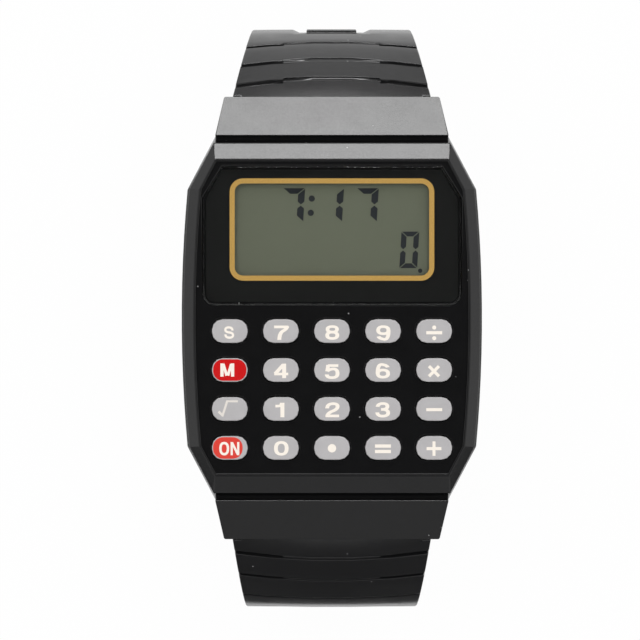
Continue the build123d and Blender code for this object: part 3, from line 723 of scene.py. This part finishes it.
class WATCH_OT_keys(bpy.types.Operator):
    """Twenty silicone keys with their printed marks"""

    bl_idname = "watch.keys"
    bl_label = "Keys"

    # Each mark, in millimetres: how much its upright strokes are widened, how far it lies right of and
    # above the key's middle, and its strokes as width, closed or open, and the points the line bends to
    marks = {
        "s": (1.0, (-0.07, -0.17), (
            (0.28, False, ((0.41, 0.24), (0.38, 0.61), (-0.44, 0.63), (-0.49, 0.07), (0.49, -0.05),
                           (0.46, -0.63), (-0.44, -0.62), (-0.47, -0.22))),
        )),
        "0": (1.45, (0.05, -0.05), (
            (0.33, True, ((-0.66, -0.72), (-0.66, 0.72), (0.66, 0.72), (0.66, -0.72))),
        )),
        "1": (1.45, (-0.05, -0.12), (
            (0.34, False, ((0.24, -0.88), (0.24, 0.88))),
            (0.32, False, ((-0.62, 0.47), (-0.1, 0.47), (0.14, 0.62), (0.17, 0.86))),
        )),
        "2": (1.45, (0.03, -0.13), (
            (0.33, False, ((-0.62, 0.2), (-0.62, 0.74), (0.66, 0.8), (0.66, 0.1), (-0.56, -0.35),
                           (-0.6, -0.74))),
            (0.33, False, ((-0.84, -0.71), (0.84, -0.71))),
        )),
        "3": (1.45, (-0.05, -0.11), (
            (0.33, False, ((-0.62, 0.38), (-0.58, 0.76), (0.58, 0.78), (0.58, 0.05), (-0.2, 0.06))),
            (0.33, False, ((-0.2, 0.06), (0.66, 0.08), (0.68, -0.74), (-0.66, -0.76), (-0.66, -0.3))),
        )),
        "4": (1.45, (0.02, -0.1), (
            (0.34, False, ((0.38, -0.88), (0.38, 0.88))),
            (0.32, False, ((-0.84, -0.38), (0.88, -0.38))),
            (0.34, False, ((0.28, 0.74), (-0.7, -0.32))),
        )),
        "5": (1.45, (0.02, -0.17), (
            (0.33, False, ((0.76, 0.71), (-0.5, 0.71))),
            (0.33, False, ((-0.48, 0.8), (-0.62, 0))),
            (0.33, False, ((-0.62, 0.02), (-0.3, 0.3), (0.64, 0.3), (0.68, -0.74), (-0.66, -0.76),
                           (-0.66, -0.36))),
        )),
        "6": (1.45, (-0.03, -0.14), (
            (0.33, False, ((0.6, 0.46), (0.5, 0.72), (-0.66, 0.9), (-0.64, -0.3))),
            (0.33, True, ((-0.62, -0.72), (-0.62, 0.14), (0.64, 0.14), (0.64, -0.72))),
        )),
        "7": (1.45, (0.03, -0.2), (
            (0.33, False, ((-0.86, 0.71), (0.88, 0.71))),
            (0.34, False, ((0.74, 0.8), (0.7, 0.45), (-0.2, 0.0), (-0.22, -0.87))),
        )),
        "8": (1.45, (0.03, -0.17), (
            (0.32, True, ((-0.58, 0.06), (-0.58, 0.72), (0.58, 0.72), (0.58, 0.06))),
            (0.33, True, ((-0.62, -0.72), (-0.62, 0.04), (0.62, 0.04), (0.62, -0.72))),
        )),
        "9": (1.45, (0.03, -0.18), (
            (0.33, False, ((-0.6, -0.46), (-0.5, -0.72), (0.66, -0.9), (0.64, 0.3))),
            (0.33, True, ((-0.64, -0.14), (-0.64, 0.72), (0.62, 0.72), (0.62, -0.14))),
        )),
        "m": (1.0, (-0.29, 0.0), (
            (0.4, False, ((-0.65, -0.8), (-0.65, 0.8))), (0.4, False, ((0.65, -0.8), (0.65, 0.8))),
            (0.34, False, ((-0.5, 0.73), (-0.07, -0.68))), (0.34, False, ((0.5, 0.73), (0.07, -0.68))),
        )),
        "on": (1.0, (0, -0.08), (
            (0.3, True, ((-1.14, -0.67), (-1.14, 0.67), (-0.22, 0.67), (-0.22, -0.67))),
            (0.27, False, ((0.24, -0.8), (0.24, 0.8))), (0.27, False, ((1.04, -0.8), (1.04, 0.8))),
            (0.28, False, ((0.28, 0.73), (1.0, -0.73))),
        )),
        "root": (1.0, (0, 0), (
            (0.3, False, ((-1.38, -0.3), (-0.92, -0.74))), (0.28, False, ((-0.92, -0.92), (-0.3, 1.0))),
            (0.25, False, ((-0.38, 0.93), (0.99, 0.93))),
        )),
        "divide": (1.0, (0, -0.2), ((0.39, False, ((-0.98, 0), (0.98, 0))),)),
        "multiply": (1.0, (-0.03, -0.14), (
            (0.38, False, ((-0.62, -0.62), (0.62, 0.62))), (0.38, False, ((-0.62, 0.62), (0.62, -0.62))),
        )),
        "minus": (1.0, (0, -0.08), ((0.375, False, ((-0.98, 0), (0.98, 0))),)),
        "equals": (1.0, (-0.02, -0.1), (
            (0.4, False, ((-0.98, 0.33), (0.98, 0.33))), (0.4, False, ((-0.98, -0.33), (0.98, -0.33))),
        )),
        "plus": (1.0, (-0.03, -0.08), (
            (0.375, False, ((-0.91, 0), (0.91, 0))), (0.37, False, ((0, -0.88), (0, 0.88))),
        )),
        "point": (1.0, (0, -0.04), ()),
    }
    # Round dots of the marks, in millimetres: radius and how far above the mark's middle
    dots = {"point": ((0.5, 0),), "divide": ((0.245, 0.62), (0.245, -0.64))}
    # Red print: width, height, corner, and how much shorter it ends on the on key
    red_w, red_h, red_corner, red_short = 3.94 * mm, 2.54 * mm, 1.16 * mm, 0.45 * mm
    least_rise = 1.2 * mm         # a key's upright edges are longer than this

    def execute(self, context):
        rubber = silicone("silicone_rubber", colours().key)
        reds = {
            "m": printed_ink("crimson_ink", colours().crimson, 0.15, 0.12),
            "on": printed_ink("scarlet_ink", colours().scarlet, 0.15, 0.08),
        }
        white = printed_ink("white_ink", colours().legend, 0.4)
        faint = printed_ink("thin_white_ink", mixed_colour(colours().legend, colours().key, 0.4), 0.4)
        for node in [n for n in frame["nodes"] if n.startswith("key_")]:
            self.cap(node, rubber)
            low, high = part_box(node)
            centre = ((low.x + high.x) / 2, (low.y + high.y) / 2)
            top = high.z
            name = node.removeprefix("key_")
            if name in reds:
                shape = bmesh.new()
                missing = self.red_short if name == "on" else 0
                plate(
                    shape, self.red_w - missing, self.red_h, self.red_corner, top - sheer, 2 * sheer,
                    (centre[0] - missing / 2, centre[1]),
                )
                piece(f"red_print_{name}", shape, reds[name], node, smooth_under=0)
                top += sheer
            ink = faint if name == "root" else white
            piece(f"mark_{name}", self.mark(name, centre, top), ink, node, smooth_under=0)
        return {"FINISHED"}

    def cap(self, node, rubber):
        """The key itself, its stepped outline and its top's rim rounded."""
        shape = joined_faces(node)
        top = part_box(node)[1].z
        upright = [
            e for e in sharp_edges(shape, 10)
            if e.is_convex and abs(e.verts[0].co.z - e.verts[1].co.z) > self.least_rise
            and max(v.co.z for v in e.verts) > top - level_gap
        ]
        round_edges(shape, upright, sizes().key_corner)
        rim = [
            e for e in shape.edges
            if all(abs(v.co.z - top) < level_gap for v in e.verts)
            and any(abs(f.normal.z) < 0.9 for f in e.link_faces)
        ]
        round_edges(shape, rim, sizes().key_edge, 4)
        worked(node, shape, rubber, smooth_under=5)

    def mark(self, name, centre, top):
        """The key's mark, in ink that stands just over it."""
        stretch, (right, up), strokes = self.marks[name]
        shape = bmesh.new()
        place = Vector((centre[0] + right * mm, centre[1] + up * mm, top))
        for count, (width, closed, points) in enumerate(strokes):
            stroke(shape, points, width, closed, stretch, place, sheer + count * layer)
        for radius, y in self.dots.get(name, ()):
            dot(shape, radius * mm, top - sheer, 2 * sheer, (place.x, place.y + y * mm))
        return shape


class WATCH_OT_display(bpy.types.Operator):
    """Display cell with its lit segments, gold frame and black print"""

    bl_idname = "watch.display"
    bl_label = "Display"

    # Lit segments of each figure, clockwise from the top
    lit = {"0": "abcdef", "1": "bc", "7": "abc"}
    # Figures, in millimetres: middle across and along, half width, half height, and the widths of the
    # upright and the level segments
    figures = (
        ("7", -4.61, 13.43, 1.31, 2.0, 0.8, 0.67), ("1", 0.01, 13.43, 1.31, 2.0, 0.8, 0.67),
        ("7", 4.14, 13.43, 1.31, 2.0, 0.8, 0.67), ("0", 9.2, 8.1, 1.06, 2.17, 0.64, 0.57),
    )
    # Colon and decimal point, in millimetres: middle across and along, radius
    points = ((-2.40, 14.2, 0.37), (-2.52, 12.50, 0.37), (10.49, 5.62, 0.26))
    gap = 0.07 * mm               # half the gap between two segments
    lean = 0.06                   # how far a figure leans right for its height

    def execute(self, context):
        dress(display_cell("display_cell", colours().display), "lcd_glass")
        dress(plated_metal("reflector_foil", linear("#c9cbc4"), 0.35), "lcd_reflector")
        dress(printed_ink("black_ink", linear("#0a0a0a"), 0.28), "lens_mask")
        dress(printed_ink("gold_ink", colours().gold, 0.35, 0.3), "gold_frame")
        ink = printed_ink("liquid_crystal", colours().segment, 0.45)
        shape = bmesh.new()
        for figure, *lengths in self.figures:
            self.digit(shape, self.lit[figure], *(length * mm for length in lengths))
        for x, y, radius in self.points:
            dot(shape, radius * mm, display_top, sheer, (x * mm, y * mm))
        piece("display_segments", shape, ink, "case", smooth_under=0)
        return {"FINISHED"}

    def digit(self, shape, lit, x, y, half_w, half_h, upright, level):
        """Seven-segment figure with mitred ends. None here lights its middle segment."""
        gap = self.gap
        bar = [
            (-half_w + gap, half_h), (half_w - gap, half_h), (half_w - upright - gap, half_h - level),
            (-half_w + upright + gap, half_h - level),
        ]
        post = [
            (half_w, half_h - gap), (half_w - upright, half_h - level - gap),
            (half_w - upright, gap + level / 2), (half_w - upright / 2, gap), (half_w, gap + level / 2),
        ]
        turned = {
            "a": (bar, 1, 1), "b": (post, 1, 1), "c": (post, 1, -1), "d": (bar, 1, -1),
            "e": (post, -1, -1), "f": (post, -1, 1),
        }
        for segment in lit:
            outline, across, up = turned[segment]
            corners = [(x + across * u + self.lean * up * v, y + up * v) for u, v in outline]
            patch(shape, corners, display_top, sheer)


class WATCH_OT_lens(bpy.types.Operator):
    """Acrylic lens with rounded edges"""

    bl_idname = "watch.lens"
    bl_label = "Lens"

    end_len = 1.5 * mm            # the edges of the end above the keys lie within this of it
    seat_t = 0.5 * mm             # the upper edges lie further than this over the underside

    def execute(self, context):
        shape = joined_faces("lens")
        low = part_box("lens")[0]
        end, seat = low.y + self.end_len, low.z + self.seat_t
        # The underside lies just clear of the mask
        underside = [v for v in shape.verts if v.co.z < low.z + level_gap]
        bmesh.ops.translate(shape, vec=(0, 0, sheer), verts=underside)
        for size, at_end in ((sizes().lens_low_edge, True), (sizes().lens_edge, False)):
            rim = [
                e for e in sharp_edges(shape, 40)
                if all(v.co.y < end and v.co.z > seat for v in e.verts) == at_end
            ]
            round_edges(shape, rim, size)
        worked("lens", shape, acrylic("cast_acrylic"))
        return {"FINISHED"}


class WATCH_OT_buckle(bpy.types.Operator):
    """Steel buckle, tongue and pin"""

    bl_idname = "watch.buckle"
    bl_label = "Buckle"

    shortest_ridge = 0.3 * mm

    def execute(self, context):
        finish = brushed_steel("stainless_steel", colours().steel, 0, 0.34)
        for node in ("buckle_frame", "buckle_tongue"):
            shape = joined_faces(node)
            round_edges(shape, outer_edges(shape, self.shortest_ridge), sizes().buckle_edge, clamp=False)
            worked(node, shape, finish, smooth_under=3)
        dress(finish, "buckle_bar")
        return {"FINISHED"}


class WATCH_OT_back(bpy.types.Operator):
    """Steel back cover, its screws, gasket and the spring bars"""

    bl_idname = "watch.back"
    bl_label = "Back"

    head_r = 0.85 * mm
    head_t = 0.5 * mm
    head_edge = 0.14 * mm
    head_stand = 0.2 * mm         # how far a head stands out of the cover
    cross_half_w = 0.1 * mm
    cross_reach = 0.5 * mm        # from a head's middle to the end of its cross slot
    cross_depth = 0.2 * mm
    head_in_x = 4.7 * mm          # from the cover's sides to a head's middle
    head_in_y = 1.2 * mm          # from the cover's ends

    def execute(self, context):
        shape = joined_faces("back_cover")
        round_edges(shape, sharp_edges(shape), sizes().cover_edge)
        worked("back_cover", shape, brushed_steel("brushed_cover", colours().steel, 1, 0.3))
        self.screws(plated_metal("nickel_plate", linear("#cfccc4"), 0.2))
        dress(plated_metal("bar_plate", linear("#cfccc4"), 0.25), "spring_bar_12", "spring_bar_6")
        dress(plain_moulding("gasket_rubber", linear("#121212"), 0.7), "back_gasket")
        return {"FINISHED"}

    def screws(self, finish):
        """Four cross-slotted heads at the cover's corners."""
        low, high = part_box("back_cover")
        x, y = high.x - self.head_in_x, high.y - self.head_in_y
        z = low.z - self.head_stand + self.head_t / 2
        shape = bmesh.new()
        mesh = bpy.data.meshes.new("head")
        for place in ((-x, -y, z), (-x, y, z), (x, -y, z), (x, y, z)):
            head = self.head()
            bmesh.ops.translate(head, vec=place, verts=head.verts)
            head.to_mesh(mesh)
            head.free()
            shape.from_mesh(mesh)
        bpy.data.meshes.remove(mesh)
        piece("cover_screws", shape, finish, "case")

    def head(self):
        """A screw's head, turned downwards, with a cross slot."""
        head = bmesh.new()
        bmesh.ops.create_cone(
            head, cap_ends=True, segments=32, radius1=self.head_r, radius2=self.head_r, depth=self.head_t
        )
        round_edges(head, [e for e in head.edges if all(v.co.z < 0 for v in e.verts)], self.head_edge)
        reaches = (-self.cross_reach, -self.cross_half_w, self.cross_half_w, self.cross_reach)
        for axis in ((1, 0, 0), (0, 1, 0)):
            for reach in reaches:
                bmesh.ops.bisect_plane(
                    head, geom=head.verts[:] + head.edges[:] + head.faces[:], dist=1e-7,
                    plane_co=Vector(axis) * reach, plane_no=axis,
                )
        cross = []
        for face in head.faces:
            near, far = sorted(abs(c) for c in face.calc_center_median().xy)
            if face.normal.z < -0.9 and near < self.cross_half_w and far < self.cross_reach:
                cross.append(face)
        sunk = bmesh.ops.extrude_face_region(head, geom=cross)["geom"]
        bmesh.ops.delete(head, geom=cross, context="FACES")
        bmesh.ops.translate(head, vec=(0, 0, self.cross_depth), verts=corners_of(sunk))
        bmesh.ops.recalc_face_normals(head, faces=head.faces)
        return head


class WATCH_OT_inside(bpy.types.Operator):
    """Board, cell, chip and the other hidden parts"""

    bl_idname = "watch.inside"
    bl_label = "Inside"

    def execute(self, context):
        layers = striped("layered_silicone", linear("#202020"), linear("#d8d2c8"), 0.2 * mm, 0, 0.6)
        dress(layers, "zebra_strips")
        dress(plain_moulding("silicone_sheet", linear("#8f9290"), 0.55), "keypad_mat")
        laminate = striped("glass_epoxy", linear("#1f5c33"), linear("#2a6b3d"), 0.4 * mm, 1, 0.4)
        dress(laminate, "circuit_board")
        dress(plain_moulding("black_epoxy", linear("#161616"), 0.25), "chip_blob")
        dress(plated_metal("bright_can", linear("#d4d2cc"), 0.18), "crystal_can", "battery")
        dress(plated_metal("spring_steel", linear("#b9b7b0"), 0.3), "battery_spring", "battery_clip")
        dress(plain_moulding("white_abs", linear("#dcdad2"), 0.5), "module_frame")
        return {"FINISHED"}


class WATCH_PT_panel(bpy.types.Panel):
    """Steps that build the watch"""

    bl_idname = "WATCH_PT_panel"
    bl_label = "Calculator watch"
    bl_space_type = "VIEW_3D"
    bl_region_type = "UI"
    bl_category = "Watch"

    def draw(self, context):
        for step in steps:
            self.layout.operator(step.bl_idname)


steps = (
    WATCH_OT_stage, WATCH_OT_case, WATCH_OT_straps, WATCH_OT_keys, WATCH_OT_display, WATCH_OT_lens,
    WATCH_OT_buckle, WATCH_OT_back, WATCH_OT_inside,
)
groups = {"watch_colours": WatchColours, "watch_sizes": WatchSizes, "watch_studio": WatchStudio}


def register():
    for cls in (*groups.values(), *steps, WATCH_PT_panel):
        bpy.utils.register_class(cls)
    for name, group in groups.items():
        setattr(bpy.types.Scene, name, PointerProperty(type=group))


def unregister():
    for name in groups:
        delattr(bpy.types.Scene, name)
    for cls in (WATCH_PT_panel, *reversed(steps), *reversed(groups.values())):
        bpy.utils.unregister_class(cls)


def main():
    register()
    for step in steps:
        getattr(bpy.ops.watch, step.bl_idname.split(".")[1])()


if __name__ == "__main__":
    main()
